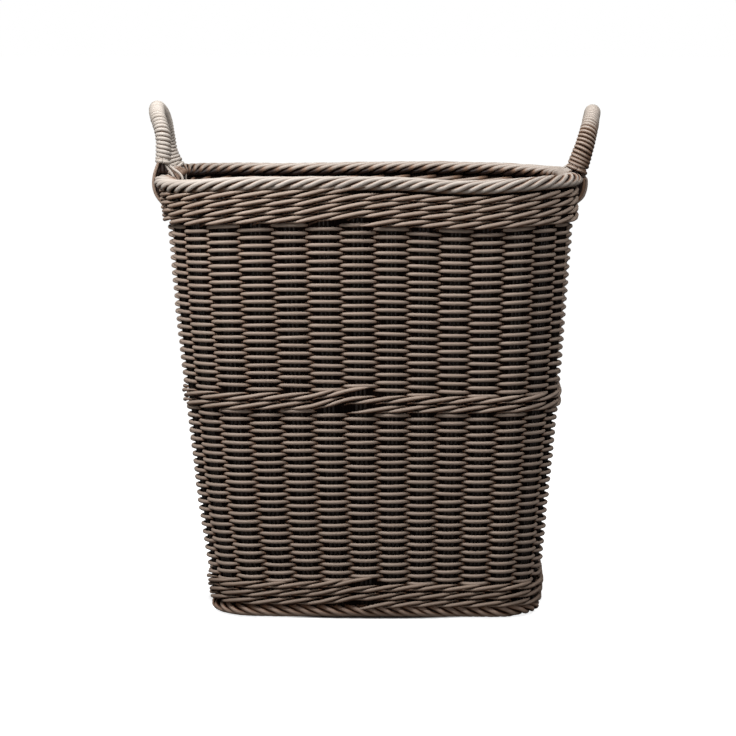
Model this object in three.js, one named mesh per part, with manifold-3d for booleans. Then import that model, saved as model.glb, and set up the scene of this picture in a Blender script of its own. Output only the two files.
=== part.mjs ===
// A tall woven basket with two handles, in millimetres, +Z up.
// The origin is the middle of the underside. +X is the right, +Y is the back.
// The wall is a rounded rectangle that widens upwards. Flat stakes stand in it, and five woven bands
// wrap them: fine weave in two broad bands, and heavy twisted rows (wales) below, between and above.
import * as THREE from 'three';
import { mergeVertices } from 'three/addons/utils/BufferGeometryUtils.js';
import Module from 'manifold-3d';

// Canes
const CANE = 4;
const CANES_IN_STAKE = 3;
const STAKE_COUNT = 38;
const GAP = 0.3;

// The wall, measured at the middle of the stakes
const BASE_HALF_WIDTH = 159.6;
const RIM_HALF_WIDTH = 203.2;
const BASE_HALF_DEPTH = 119;
const RIM_HALF_DEPTH = 152.2;
const BASE_CORNER = 43;
const RIM_CORNER = 87.3;
const WALL_SWELL = 0.39; // how much the sides bow outwards between base and rim
const STAKE_TURN = 8; // how far the foot of each stake is shifted round the wall

// The bands, from the foot up
const FOOT_HEIGHT = 12.5;
const LOWER_WALE_ROWS = 3;
const LOWER_WALE_PITCH = 9.8;
const LOWER_WEAVE_HEIGHT = 172.5;
const MIDDLE_WALE_ROWS = 2;
const MIDDLE_WALE_PITCH = 12;
const UPPER_WEAVE_HEIGHT = 159;
const UPPER_WALE_ROWS = 4;
const UPPER_WALE_PITCH = 10.6;
const BORDER_HEIGHT = 13.5;

// How far the bands reach from the middle of the stakes
const WEAVE_REACH = 6;
const WEAVE_WAIST = 2;
const LOWER_WALE_REACH = 10.5;
const MIDDLE_WALE_REACH = 9.3;
const UPPER_WALE_REACH = 12.5;
const WALE_GROOVE = 3; // depth of the groove between two rows
const WALE_DIP = 1.5; // how far a row falls back between two stakes
const WALE_INNER_REACH = 6;
const BORDER_OUTER_REACH = 14;
const BORDER_INNER_REACH = 10;
const FOOT_OUTER_REACH = 9;
const FOOT_INNER_REACH = 12;
const BORDER_ROUNDING = 5;
const BORDER_CHAMFER = 2; // how far the flat underside of a border is drawn in

// The bottom
const BASE_STICK_COUNT = 7;

// The handles
const HANDLE_HALF_SPAN = 65;
const HANDLE_LEG = 8;
const HANDLE_RISE = 51.7;
const HANDLE_LEAN = THREE.MathUtils.degToRad(14);
const HANDLE_STANDOFF = 6.6; // from the middle of the stakes to the foot of the handle
const WINDING_RADIUS = 9.75;
const WINDING_START = 5;
const WINDING_CANES = 3; // canes wound side by side
const WINDING_SLACK = 0.6; // space between two turns
const WINDING_STEPS = 12;
const CORE_SIDES = 8;
const CORE_STEPS = 24;
const CORE_CLEARANCE = 0.4;
const TAIL_WIDTH = 12;
const TAIL_STEPS = 9;
const TAIL_CLEARANCE = 0.8;
const OUTER_TAIL_DEPTH = 17; // how far the tails reach below the rim's underside
const INNER_TAIL_DEPTH = 26;

const wasm = await Module();
wasm.setup();

// Heights that follow from the bands
const LOWER_WALE_Z = FOOT_HEIGHT;
const LOWER_WEAVE_Z = LOWER_WALE_Z + LOWER_WALE_ROWS * LOWER_WALE_PITCH;
const MIDDLE_WALE_Z = LOWER_WEAVE_Z + LOWER_WEAVE_HEIGHT;
const UPPER_WEAVE_Z = MIDDLE_WALE_Z + MIDDLE_WALE_ROWS * MIDDLE_WALE_PITCH;
const UPPER_WALE_Z = UPPER_WEAVE_Z + UPPER_WEAVE_HEIGHT;
const RIM_Z = UPPER_WALE_Z + UPPER_WALE_ROWS * UPPER_WALE_PITCH;
const TOP_Z = RIM_Z + BORDER_HEIGHT;
const STAKE_WIDTH = CANES_IN_STAKE * CANE;

const TAUPE = { color: 0xa8978a, roughness: 0.55, metalness: 0 };
const DARK_TAUPE = { color: 0x8d7c70, roughness: 0.6, metalness: 0 };
const PALE_TAUPE = { color: 0xb9aa9c, roughness: 0.5, metalness: 0 };

// The wall's half width, half depth and corner radius at a height
function wallAt(z) {
  const t = Math.min(z, RIM_Z) / RIM_Z;
  const swell = t + WALL_SWELL * t * (1 - t);
  return {
    halfWidth: BASE_HALF_WIDTH + (RIM_HALF_WIDTH - BASE_HALF_WIDTH) * swell,
    halfDepth: BASE_HALF_DEPTH + (RIM_HALF_DEPTH - BASE_HALF_DEPTH) * swell,
    corner: BASE_CORNER + (RIM_CORNER - BASE_CORNER) * t,
  };
}

function perimeterAt(z) {
  const { halfWidth, halfDepth, corner } = wallAt(z);
  return 4 * (halfWidth + halfDepth) - (8 - 2 * Math.PI) * corner;
}

// The place and outward normal at a length s round the wall, counted from the front's middle to the right
function wallPlace(s, z) {
  const { halfWidth, halfDepth, corner } = wallAt(z);
  const sides = [halfWidth, halfDepth, halfWidth, halfDepth].map((half) => half - corner);
  const arc = (corner * Math.PI) / 2;
  const around = perimeterAt(z);
  let rest = (((s + sides[0]) % around) + around) % around;
  let quarter = 0;
  while (quarter < 3 && rest > 2 * sides[quarter] + arc) {
    rest -= 2 * sides[quarter] + arc;
    quarter += 1;
  }
  const half = sides[quarter];
  const reach = quarter % 2 === 0 ? halfDepth : halfWidth;
  const bend = Math.max(rest - 2 * half, 0) / corner;
  const along = Math.min(rest, 2 * half) - half + corner * Math.sin(bend);
  const away = reach - corner + corner * Math.cos(bend);
  const turn = (quarter * Math.PI) / 2;
  const place = new THREE.Vector2(along, -away).rotateAround(new THREE.Vector2(), turn);
  const normal = new THREE.Vector2(Math.sin(bend), -Math.cos(bend)).rotateAround(new THREE.Vector2(), turn);
  return { place, normal };
}

function wallPoint(s, z, reach) {
  const { place, normal } = wallPlace(s, z);
  place.addScaledVector(normal, reach);
  return new THREE.Vector3(place.x, place.y, z);
}

// The length round the wall at which a stake stands, half a pitch either side of the front's middle at the rim
function stakeAt(index, z) {
  return ((index + 0.5) * perimeterAt(z)) / STAKE_COUNT + STAKE_TURN * (1 - z / RIM_Z);
}

function geometryOf(positions, indices) {
  const geometry = new THREE.BufferGeometry();
  geometry.setAttribute('position', new THREE.Float32BufferAttribute(positions, 3));
  geometry.setIndex(indices);
  geometry.computeVertexNormals();
  return geometry;
}

// Faces between neighbouring loops of equal count, each loop counterclockwise seen from the next one
function sideFaces(loopCount, count, closed) {
  const indices = [];
  const rows = closed ? loopCount : loopCount - 1;
  for (let row = 0; row < rows; row += 1) {
    const next = (row + 1) % loopCount;
    for (let i = 0; i < count; i += 1) {
      const j = (i + 1) % count;
      const [a, b, c, d] = [row * count + i, row * count + j, next * count + j, next * count + i];
      indices.push(a, b, c, a, c, d);
    }
  }
  return indices;
}

function positionsOf(loops) {
  return loops.flat().flatMap((point) => [point.x, point.y, point.z]);
}

// A solid through level loops, counted from below and counterclockwise from above, with a flat cap at each end
function lofted(loops) {
  const count = loops[0].length;
  const indices = sideFaces(loops.length, count, false);
  const addCap = (row, upward) => {
    const points = loops[row].map((point) => new THREE.Vector2(point.x, point.y));
    THREE.ShapeUtils.triangulateShape(points, []).forEach(([i, j, k]) => {
      const [p, q, r] = [points[i], points[j], points[k]];
      const turn = (q.x - p.x) * (r.y - p.y) - (q.y - p.y) * (r.x - p.x);
      const face = (turn > 0) === upward ? [i, j, k] : [i, k, j];
      indices.push(...face.map((index) => row * count + index));
    });
  };
  addCap(0, false);
  addCap(loops.length - 1, true);
  return solidOf(geometryOf(positionsOf(loops), indices));
}

function solidOf(geometry) {
  const bare = geometry.clone();
  bare.deleteAttribute('normal');
  bare.deleteAttribute('uv');
  const merged = mergeVertices(bare, 1e-4);
  const vertProperties = new Float32Array(merged.attributes.position.array);
  const triVerts = new Uint32Array(merged.index.array);
  return new wasm.Manifold(new wasm.Mesh({ numProp: 3, vertProperties, triVerts }));
}

function geometryOfSolid(solid) {
  const mesh = solid.getMesh();
  return geometryOf(Array.from(mesh.vertProperties), Array.from(mesh.triVerts));
}

// The flat outline of one stake at a height, wider all round by a clearance
function stakeLoop(index, z, clearance) {
  const { place, normal } = wallPlace(stakeAt(index, z), z);
  const along = new THREE.Vector2(-normal.y, normal.x);
  const halfWidth = STAKE_WIDTH / 2 + clearance;
  const halfThickness = CANE / 2 + clearance;
  const corners = [[-1, 1], [1, 1], [1, -1], [-1, -1]];
  return corners.map(([side, out]) => {
    const corner = place.clone().addScaledVector(along, side * halfWidth);
    corner.addScaledVector(normal, out * halfThickness);
    return new THREE.Vector3(corner.x, corner.y, z);
  });
}

// A loop round the wall that lies flat over each stake and falls back between two of them
function weaveLoop(z, overStake, between) {
  const pitch = perimeterAt(z) / STAKE_COUNT;
  const flat = STAKE_WIDTH / 2 + GAP;
  const points = [];
  for (let i = 0; i < STAKE_COUNT; i += 1) {
    const s = stakeAt(i, z);
    points.push(wallPoint(s - flat, z, overStake));
    points.push(wallPoint(s + flat, z, overStake));
    points.push(wallPoint(s + pitch / 2, z, between));
  }
  return points;
}

// A loop of two points to each stake, for the heavy rows and the borders
function rowLoop(z, overStake, between) {
  const pitch = perimeterAt(z) / STAKE_COUNT;
  const points = [];
  for (let i = 0; i < STAKE_COUNT; i += 1) {
    const s = stakeAt(i, z);
    points.push(wallPoint(s, z, overStake));
    points.push(wallPoint(s + pitch / 2, z, between));
  }
  return points;
}

// A band: what lies between its outer loops and its inner surface, with a channel for each stake
function band(outer, innerLoop, low, high) {
  const levels = [low - CANE, low, high, high + CANE];
  const cuts = [lofted(levels.map(innerLoop))];
  for (let i = 0; i < STAKE_COUNT; i += 1) {
    cuts.push(lofted(levels.map((z) => stakeLoop(i, z, GAP))));
  }
  return geometryOfSolid(lofted(outer).subtract(wasm.Manifold.union(cuts)));
}

// A band of fine weave: it swells over each stake and is one cane thick between them, inside and out
function weaveBand(z, height) {
  const low = z + GAP / 2;
  const high = z + height - GAP / 2;
  const outer = [low, high].map((level) => weaveLoop(level, WEAVE_REACH, WEAVE_WAIST));
  return band(outer, (level) => weaveLoop(level, -WEAVE_REACH, -WEAVE_WAIST), low, high);
}

// A band of heavy twisted rows: each row is a ridge round the wall
function waleBand(z, rows, pitch, reach) {
  const low = z + GAP / 2;
  const high = z + rows * pitch - GAP / 2;
  const outer = [];
  for (let half = 0; half <= 2 * rows; half += 1) {
    const level = low + ((high - low) * half) / (2 * rows);
    const ridge = half % 2 === 1 ? reach : reach - WALE_GROOVE;
    outer.push(rowLoop(level, ridge, ridge - WALE_DIP));
  }
  return band(outer, (level) => rowLoop(level, -WALE_INNER_REACH, WALE_DIP - WALE_INNER_REACH), low, high);
}

// A rolled border: a flat-bottomed ring whose other edges are rounded
function borderRing(low, high, innerReach, outerReach) {
  const profile = [
    { reach: outerReach - BORDER_CHAMFER, level: low },
    { reach: outerReach, level: low + BORDER_ROUNDING },
    { reach: outerReach, level: high - BORDER_ROUNDING },
    { reach: outerReach - BORDER_ROUNDING, level: high },
    { reach: BORDER_ROUNDING - innerReach, level: high },
    { reach: -innerReach, level: high - BORDER_ROUNDING },
    { reach: -innerReach, level: low + BORDER_ROUNDING },
    { reach: BORDER_CHAMFER - innerReach, level: low },
  ];
  const loops = profile.map(({ reach, level }) => rowLoop(level, reach, reach));
  return geometryOf(positionsOf(loops), sideFaces(loops.length, loops[0].length, true));
}

// A stake: a flat bundle of canes from the foot border to the rim, following the wall
function stake(index) {
  const levels = [
    LOWER_WALE_Z + GAP / 2,
    LOWER_WEAVE_Z,
    MIDDLE_WALE_Z,
    UPPER_WEAVE_Z,
    UPPER_WALE_Z,
    RIM_Z - GAP / 2,
  ];
  return geometryOfSolid(lofted(levels.map((z) => stakeLoop(index, z, 0))));
}

// The bottom's outline, inside the lowest rows
function baseOutline(z, clearance) {
  const points = [];
  for (let i = 0; i < STAKE_COUNT; i += 1) {
    points.push(wallPoint(stakeAt(i, z), z, -WALE_INNER_REACH - clearance));
  }
  return points;
}

const BASE_BOTTOM = FOOT_HEIGHT + GAP / 2;
const BASE_MIDDLE = BASE_BOTTOM + WEAVE_REACH;
const BASE_TOP = BASE_MIDDLE + WEAVE_REACH;

function baseStickY(index) {
  const { halfDepth } = wallAt(BASE_MIDDLE);
  return ((index + 0.5) / BASE_STICK_COUNT - 0.5) * 2 * (halfDepth - WALE_INNER_REACH);
}

function basePrism(clearance) {
  const outline = baseOutline(BASE_BOTTOM, GAP + clearance);
  const levels = [BASE_BOTTOM - CANE, BASE_TOP + CANE];
  const loops = levels.map((z) => outline.map((point) => new THREE.Vector3(point.x, point.y, z)));
  return lofted(loops);
}

// A bar along the basket with a given outline in Y and Z
function barAlongX(outline) {
  const shape = new THREE.Shape(outline.map(([y, z]) => new THREE.Vector2(y, z)));
  const length = 2 * RIM_HALF_WIDTH;
  const bar = new THREE.ExtrudeGeometry(shape, { depth: length, bevelEnabled: false });
  bar.translate(0, 0, -length / 2);
  bar.applyMatrix4(new THREE.Matrix4().makeBasis(
    new THREE.Vector3(0, 1, 0),
    new THREE.Vector3(0, 0, 1),
    new THREE.Vector3(1, 0, 0),
  ));
  return solidOf(bar);
}

function stickBar(index, clearance) {
  const y = baseStickY(index);
  const halfWidth = STAKE_WIDTH / 2 + clearance;
  const halfThickness = CANE / 2 + clearance;
  return barAlongX([
    [y - halfWidth, BASE_MIDDLE - halfThickness],
    [y + halfWidth, BASE_MIDDLE - halfThickness],
    [y + halfWidth, BASE_MIDDLE + halfThickness],
    [y - halfWidth, BASE_MIDDLE + halfThickness],
  ]);
}

// The woven bottom swells over each stick, as the wall does over each stake
function baseWeave() {
  const flat = STAKE_WIDTH / 2 + GAP;
  const crests = [[-RIM_HALF_DEPTH, WEAVE_WAIST]];
  for (let i = 0; i < BASE_STICK_COUNT; i += 1) {
    const y = baseStickY(i);
    if (i > 0) crests.push([(y + baseStickY(i - 1)) / 2, WEAVE_WAIST]);
    crests.push([y - flat, WEAVE_REACH], [y + flat, WEAVE_REACH]);
  }
  crests.push([RIM_HALF_DEPTH, WEAVE_WAIST]);
  const below = crests.map(([y, reach]) => [y, BASE_MIDDLE - reach]);
  const above = crests.map(([y, reach]) => [y, BASE_MIDDLE + reach]).reverse();
  let slab = barAlongX([...below, ...above]).intersect(basePrism(0));
  for (let i = 0; i < BASE_STICK_COUNT; i += 1) {
    slab = slab.subtract(stickBar(i, GAP));
  }
  return geometryOfSolid(slab);
}

function baseStick(index) {
  return geometryOfSolid(stickBar(index, 0).intersect(basePrism(GAP)));
}

// The handle's middle line: up one leg, over the arch and down the other, in its own plane
function handleLine() {
  const line = new THREE.Path();
  line.moveTo(-HANDLE_HALF_SPAN, 0);
  line.lineTo(-HANDLE_HALF_SPAN, HANDLE_LEG);
  line.absellipse(0, HANDLE_LEG, HANDLE_HALF_SPAN, HANDLE_RISE, Math.PI, 0, true);
  line.lineTo(HANDLE_HALF_SPAN, 0);
  return line;
}

const handlePath = handleLine();
const handleLength = handlePath.getLength();
const handleX = wallAt(RIM_Z).halfWidth + HANDLE_STANDOFF;
const handleFrame = new THREE.Matrix4()
  .makeRotationY(HANDLE_LEAN)
  .setPosition(handleX, 0, TOP_Z + TAIL_CLEARANCE);

// A point of the handle at a length along it, an angle round it and a distance from its middle line
function handlePoint(length, angle, radius) {
  const u = THREE.MathUtils.clamp(length / handleLength, 0, 1);
  const place = handlePath.getPoint(u);
  const tangent = handlePath.getTangent(u);
  const outward = new THREE.Vector3(0, -tangent.y, tangent.x).multiplyScalar(radius * Math.cos(angle));
  const sideways = new THREE.Vector3(radius * Math.sin(angle), 0, 0);
  return new THREE.Vector3(0, place.x, place.y).add(outward).add(sideways).applyMatrix4(handleFrame);
}

// A closed tube through convex loops of equal count
function tubeOf(loops) {
  const positions = positionsOf(loops);
  const count = loops[0].length;
  const indices = sideFaces(loops.length, count, false);
  const last = (loops.length - 1) * count;
  for (let i = 1; i + 1 < count; i += 1) {
    indices.push(0, i + 1, i);
    indices.push(last, last + i, last + i + 1);
  }
  const solid = solidOf(geometryOf(positions, indices));
  return solid.volume() < 0 ? solidOf(geometryOf(positions, indices.reverse())) : solid;
}

// The winding: canes side by side, wound round the core as one unbroken band
function windingLoops() {
  const lead = WINDING_CANES * CANE + WINDING_SLACK;
  const halfWidth = (WINDING_CANES * CANE) / 2;
  const innerRadius = WINDING_RADIUS - CANE;
  const first = WINDING_START + halfWidth;
  const turns = Math.floor((handleLength - 2 * first) / lead);
  const steps = turns * WINDING_STEPS;
  const start = (handleLength - turns * lead) / 2;
  const loops = [];
  for (let step = 0; step <= steps; step += 1) {
    const angle = (-2 * Math.PI * step) / WINDING_STEPS;
    const middle = start + (lead * step) / WINDING_STEPS;
    loops.push([
      handlePoint(middle - halfWidth, angle, innerRadius),
      handlePoint(middle + halfWidth, angle, innerRadius),
      handlePoint(middle + halfWidth, angle, WINDING_RADIUS),
      handlePoint(middle - halfWidth, angle, WINDING_RADIUS),
    ]);
  }
  return loops;
}

function leastWindingGap(loops) {
  let least = Infinity;
  for (let step = 0; step + WINDING_STEPS < loops.length; step += 1) {
    const here = loops[step];
    const next = loops[step + WINDING_STEPS];
    least = Math.min(least, here[1].distanceTo(next[0]), here[2].distanceTo(next[3]));
  }
  return least;
}

// A flat strap in the handle's leg, through points given as distance from the stakes and height
function strap(route, y) {
  const curve = new THREE.CatmullRomCurve3(route.map(([reach, z]) => new THREE.Vector3(
    wallAt(Math.min(z, RIM_Z)).halfWidth + reach, y, z,
  )), false, 'centripetal');
  const loops = [];
  for (let step = 0; step <= TAIL_STEPS; step += 1) {
    const place = curve.getPointAt(step / TAIL_STEPS);
    const tangent = curve.getTangentAt(step / TAIL_STEPS);
    const across = new THREE.Vector3(tangent.z, 0, -tangent.x).multiplyScalar(CANE / 2);
    const sideways = new THREE.Vector3(0, TAIL_WIDTH / 2, 0);
    loops.push([
      place.clone().add(across).add(sideways),
      place.clone().sub(across).add(sideways),
      place.clone().sub(across).sub(sideways),
      place.clone().add(across).sub(sideways),
    ]);
  }
  return tubeOf(loops);
}

// The core: a round bundle over the arch, which spreads at each leg into a tail outside the rim and one inside
function handleCore() {
  const radius = (WINDING_RADIUS - CANE) * Math.cos(Math.PI / WINDING_STEPS) - CORE_CLEARANCE;
  const loops = [];
  for (let step = 0; step <= CORE_STEPS; step += 1) {
    const length = (handleLength * step) / CORE_STEPS;
    const loop = [];
    for (let side = 0; side < CORE_SIDES; side += 1) {
      loop.push(handlePoint(length, (2 * Math.PI * side) / CORE_SIDES, radius));
    }
    loops.push(loop);
  }
  let core = tubeOf(loops);
  const over = TOP_Z + TAIL_CLEARANCE + CANE / 2;
  const outside = BORDER_OUTER_REACH + TAIL_CLEARANCE + CANE / 2;
  const inside = -(BORDER_INNER_REACH + TAIL_CLEARANCE + CANE / 2);
  const onWaleOutside = UPPER_WALE_REACH + TAIL_CLEARANCE + CANE / 2;
  const onWaleInside = -(WALE_INNER_REACH + TAIL_CLEARANCE + CANE / 2);
  const outerRoute = [
    [HANDLE_STANDOFF - radius / 2, over],
    [BORDER_OUTER_REACH, over],
    [outside, TOP_Z - BORDER_ROUNDING],
    [outside, RIM_Z],
    [onWaleOutside + TAIL_CLEARANCE, RIM_Z - OUTER_TAIL_DEPTH / 2],
    [onWaleOutside, RIM_Z - OUTER_TAIL_DEPTH],
  ];
  const innerRoute = [
    [HANDLE_STANDOFF + radius / 2, over],
    [-BORDER_INNER_REACH, over],
    [inside, TOP_Z - BORDER_ROUNDING],
    [inside, RIM_Z],
    [onWaleInside - TAIL_CLEARANCE, RIM_Z - INNER_TAIL_DEPTH / 2],
    [onWaleInside, RIM_Z - INNER_TAIL_DEPTH],
  ];
  for (const y of [-HANDLE_HALF_SPAN, HANDLE_HALF_SPAN]) {
    core = core.add(strap(outerRoute, y)).add(strap(innerRoute, y));
  }
  return geometryOfSolid(core);
}

function named(name, geometry, material) {
  const mesh = new THREE.Mesh(geometry, new THREE.MeshStandardMaterial(material));
  mesh.name = name;
  return mesh;
}

const basket = new THREE.Group();

const wall = new THREE.Group();
const footBorder = borderRing(0, FOOT_HEIGHT - GAP / 2, FOOT_INNER_REACH, FOOT_OUTER_REACH);
const lowerWale = waleBand(LOWER_WALE_Z, LOWER_WALE_ROWS, LOWER_WALE_PITCH, LOWER_WALE_REACH);
const middleWale = waleBand(MIDDLE_WALE_Z, MIDDLE_WALE_ROWS, MIDDLE_WALE_PITCH, MIDDLE_WALE_REACH);
const upperWale = waleBand(UPPER_WALE_Z, UPPER_WALE_ROWS, UPPER_WALE_PITCH, UPPER_WALE_REACH);
const topBorder = borderRing(RIM_Z + GAP / 2, TOP_Z, BORDER_INNER_REACH, BORDER_OUTER_REACH);
wall.add(named('foot_border', footBorder, DARK_TAUPE));
wall.add(named('lower_wale', lowerWale, DARK_TAUPE));
wall.add(named('lower_weave', weaveBand(LOWER_WEAVE_Z, LOWER_WEAVE_HEIGHT), TAUPE));
wall.add(named('middle_wale', middleWale, TAUPE));
wall.add(named('upper_weave', weaveBand(UPPER_WEAVE_Z, UPPER_WEAVE_HEIGHT), TAUPE));
wall.add(named('upper_wale', upperWale, TAUPE));
wall.add(named('top_border', topBorder, PALE_TAUPE));
for (let i = 0; i < STAKE_COUNT; i += 1) {
  wall.add(named(`stake_${String(i + 1).padStart(2, '0')}`, stake(i), TAUPE));
}
basket.add(wall);

const bottom = new THREE.Group();
bottom.add(named('base_weave', baseWeave(), DARK_TAUPE));
for (let i = 0; i < BASE_STICK_COUNT; i += 1) {
  bottom.add(named(`base_stick_${i + 1}`, baseStick(i), TAUPE));
}
basket.add(bottom);

const winding = windingLoops();
console.log(`least gap between turns of a winding: ${leastWindingGap(winding).toFixed(2)} mm`);
for (const [side, turn] of [['right', 0], ['left', Math.PI]]) {
  const handle = new THREE.Group();
  handle.rotation.z = turn;
  handle.add(named(`${side}_handle_core`, handleCore(), TAUPE));
  handle.add(named(`${side}_handle_winding`, geometryOfSolid(tubeOf(winding)), PALE_TAUPE));
  basket.add(handle);
}

export default basket;
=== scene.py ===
"""The looks of a tall woven basket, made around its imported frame.

Every cane of the basket is a tube of its own: the weavers of the two fine bands, the twisted rows, the
rolled borders, the stakes, the bottom and the wound handles. Sizes are in millimetres, and each mesh is
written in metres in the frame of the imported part.
"""

import logging
import math
from dataclasses import dataclass, field
from enum import Enum

import bpy
import numpy as np
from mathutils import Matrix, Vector


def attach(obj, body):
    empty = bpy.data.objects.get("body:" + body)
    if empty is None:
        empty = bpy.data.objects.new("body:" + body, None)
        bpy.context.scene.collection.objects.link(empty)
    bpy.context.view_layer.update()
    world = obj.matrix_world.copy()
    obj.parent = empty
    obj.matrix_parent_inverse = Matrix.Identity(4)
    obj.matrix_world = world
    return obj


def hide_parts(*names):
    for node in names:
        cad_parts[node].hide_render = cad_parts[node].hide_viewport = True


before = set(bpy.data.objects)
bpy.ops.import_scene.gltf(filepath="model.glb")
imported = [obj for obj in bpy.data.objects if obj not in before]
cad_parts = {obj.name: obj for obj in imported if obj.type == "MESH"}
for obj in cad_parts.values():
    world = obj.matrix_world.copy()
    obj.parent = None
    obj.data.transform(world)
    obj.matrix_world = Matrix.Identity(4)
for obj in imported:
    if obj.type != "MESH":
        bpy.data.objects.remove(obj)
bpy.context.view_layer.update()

LOG = logging.getLogger("basket")
METRES = 0.001
BODY = "root"
TURN = 2 * math.pi
HIDDEN_CANE_SIDES = 6

Pair = tuple[float, float]
Triple = tuple[float, float, float]


class Twist(Enum):
    """The way the strands of a rolled border lie on its outer face."""

    RISING = 1
    FALLING = -1


class Side(Enum):
    """The end of the basket that a handle stands on, as a turn about the upright axis."""

    RIGHT = 0.0
    LEFT = math.pi


def smooth_step(low: float, high: float, value: np.ndarray) -> np.ndarray:
    """Rises smoothly from 0 at low to 1 at high.

    Args:
        low: Where the rise starts.
        high: Where it ends.
        value: The places to work it out at.

    Returns:
        The height of the step at each place.
    """
    t = np.clip((value - low) / (high - low), 0, 1)
    return t * t * (3 - 2 * t)


def hump(rise: Pair, fall: Pair, value: np.ndarray) -> np.ndarray:
    """Rises smoothly from 0 to 1 over one stretch and falls back to 0 over another."""
    return smooth_step(*rise, value) * (1 - smooth_step(*fall, value))


def along_band(ends: Pair, height: np.ndarray) -> np.ndarray:
    """A value that changes evenly from a band's foot, at height 0, to its head, at height 1."""
    return np.interp(height, [0, 1], ends)


def wobble(draw: np.random.Generator, places: np.ndarray, size: float) -> np.ndarray:
    """A smooth random offset along a cane, with one knot to each stake.

    Args:
        draw: The seeded source of random numbers.
        places: Places along the cane, in stakes.
        size: The spread of the offset.

    Returns:
        The offset at each place.
    """
    start = int(math.floor(places.min()))
    knots = draw.normal(0, size, int(math.ceil(places.max())) - start + 2)
    index = np.floor(places).astype(int) - start
    blend = smooth_step(0, 1, places - np.floor(places))
    return knots[index] * (1 - blend) + knots[index + 1] * blend


def smooth_route(knots: np.ndarray, steps: int) -> np.ndarray:
    """A smooth line through a few points.

    Args:
        knots: The points, one row each.
        steps: Samples between two of them.

    Returns:
        The samples, one row each.
    """
    padded = np.concatenate([[2 * knots[0] - knots[1]], knots, [2 * knots[-1] - knots[-2]]])
    t = (np.arange(steps) / steps)[:, None]
    samples = []
    for before, start, end, after in zip(padded, padded[1:], padded[2:], padded[3:]):
        slope = (end - before) * t
        bend = (2 * before - 5 * start + 4 * end - after) * t**2
        change = (3 * start - before - 3 * end + after) * t**3
        samples.append(0.5 * (2 * start + slope + bend + change))
    return np.concatenate([*samples, knots[-1:]])


@dataclass(frozen=True)
class Sag:
    """A place where the hand-laid rim dips: its direction from the front and its width in degrees."""

    direction: float
    width: float
    depth: float


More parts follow.
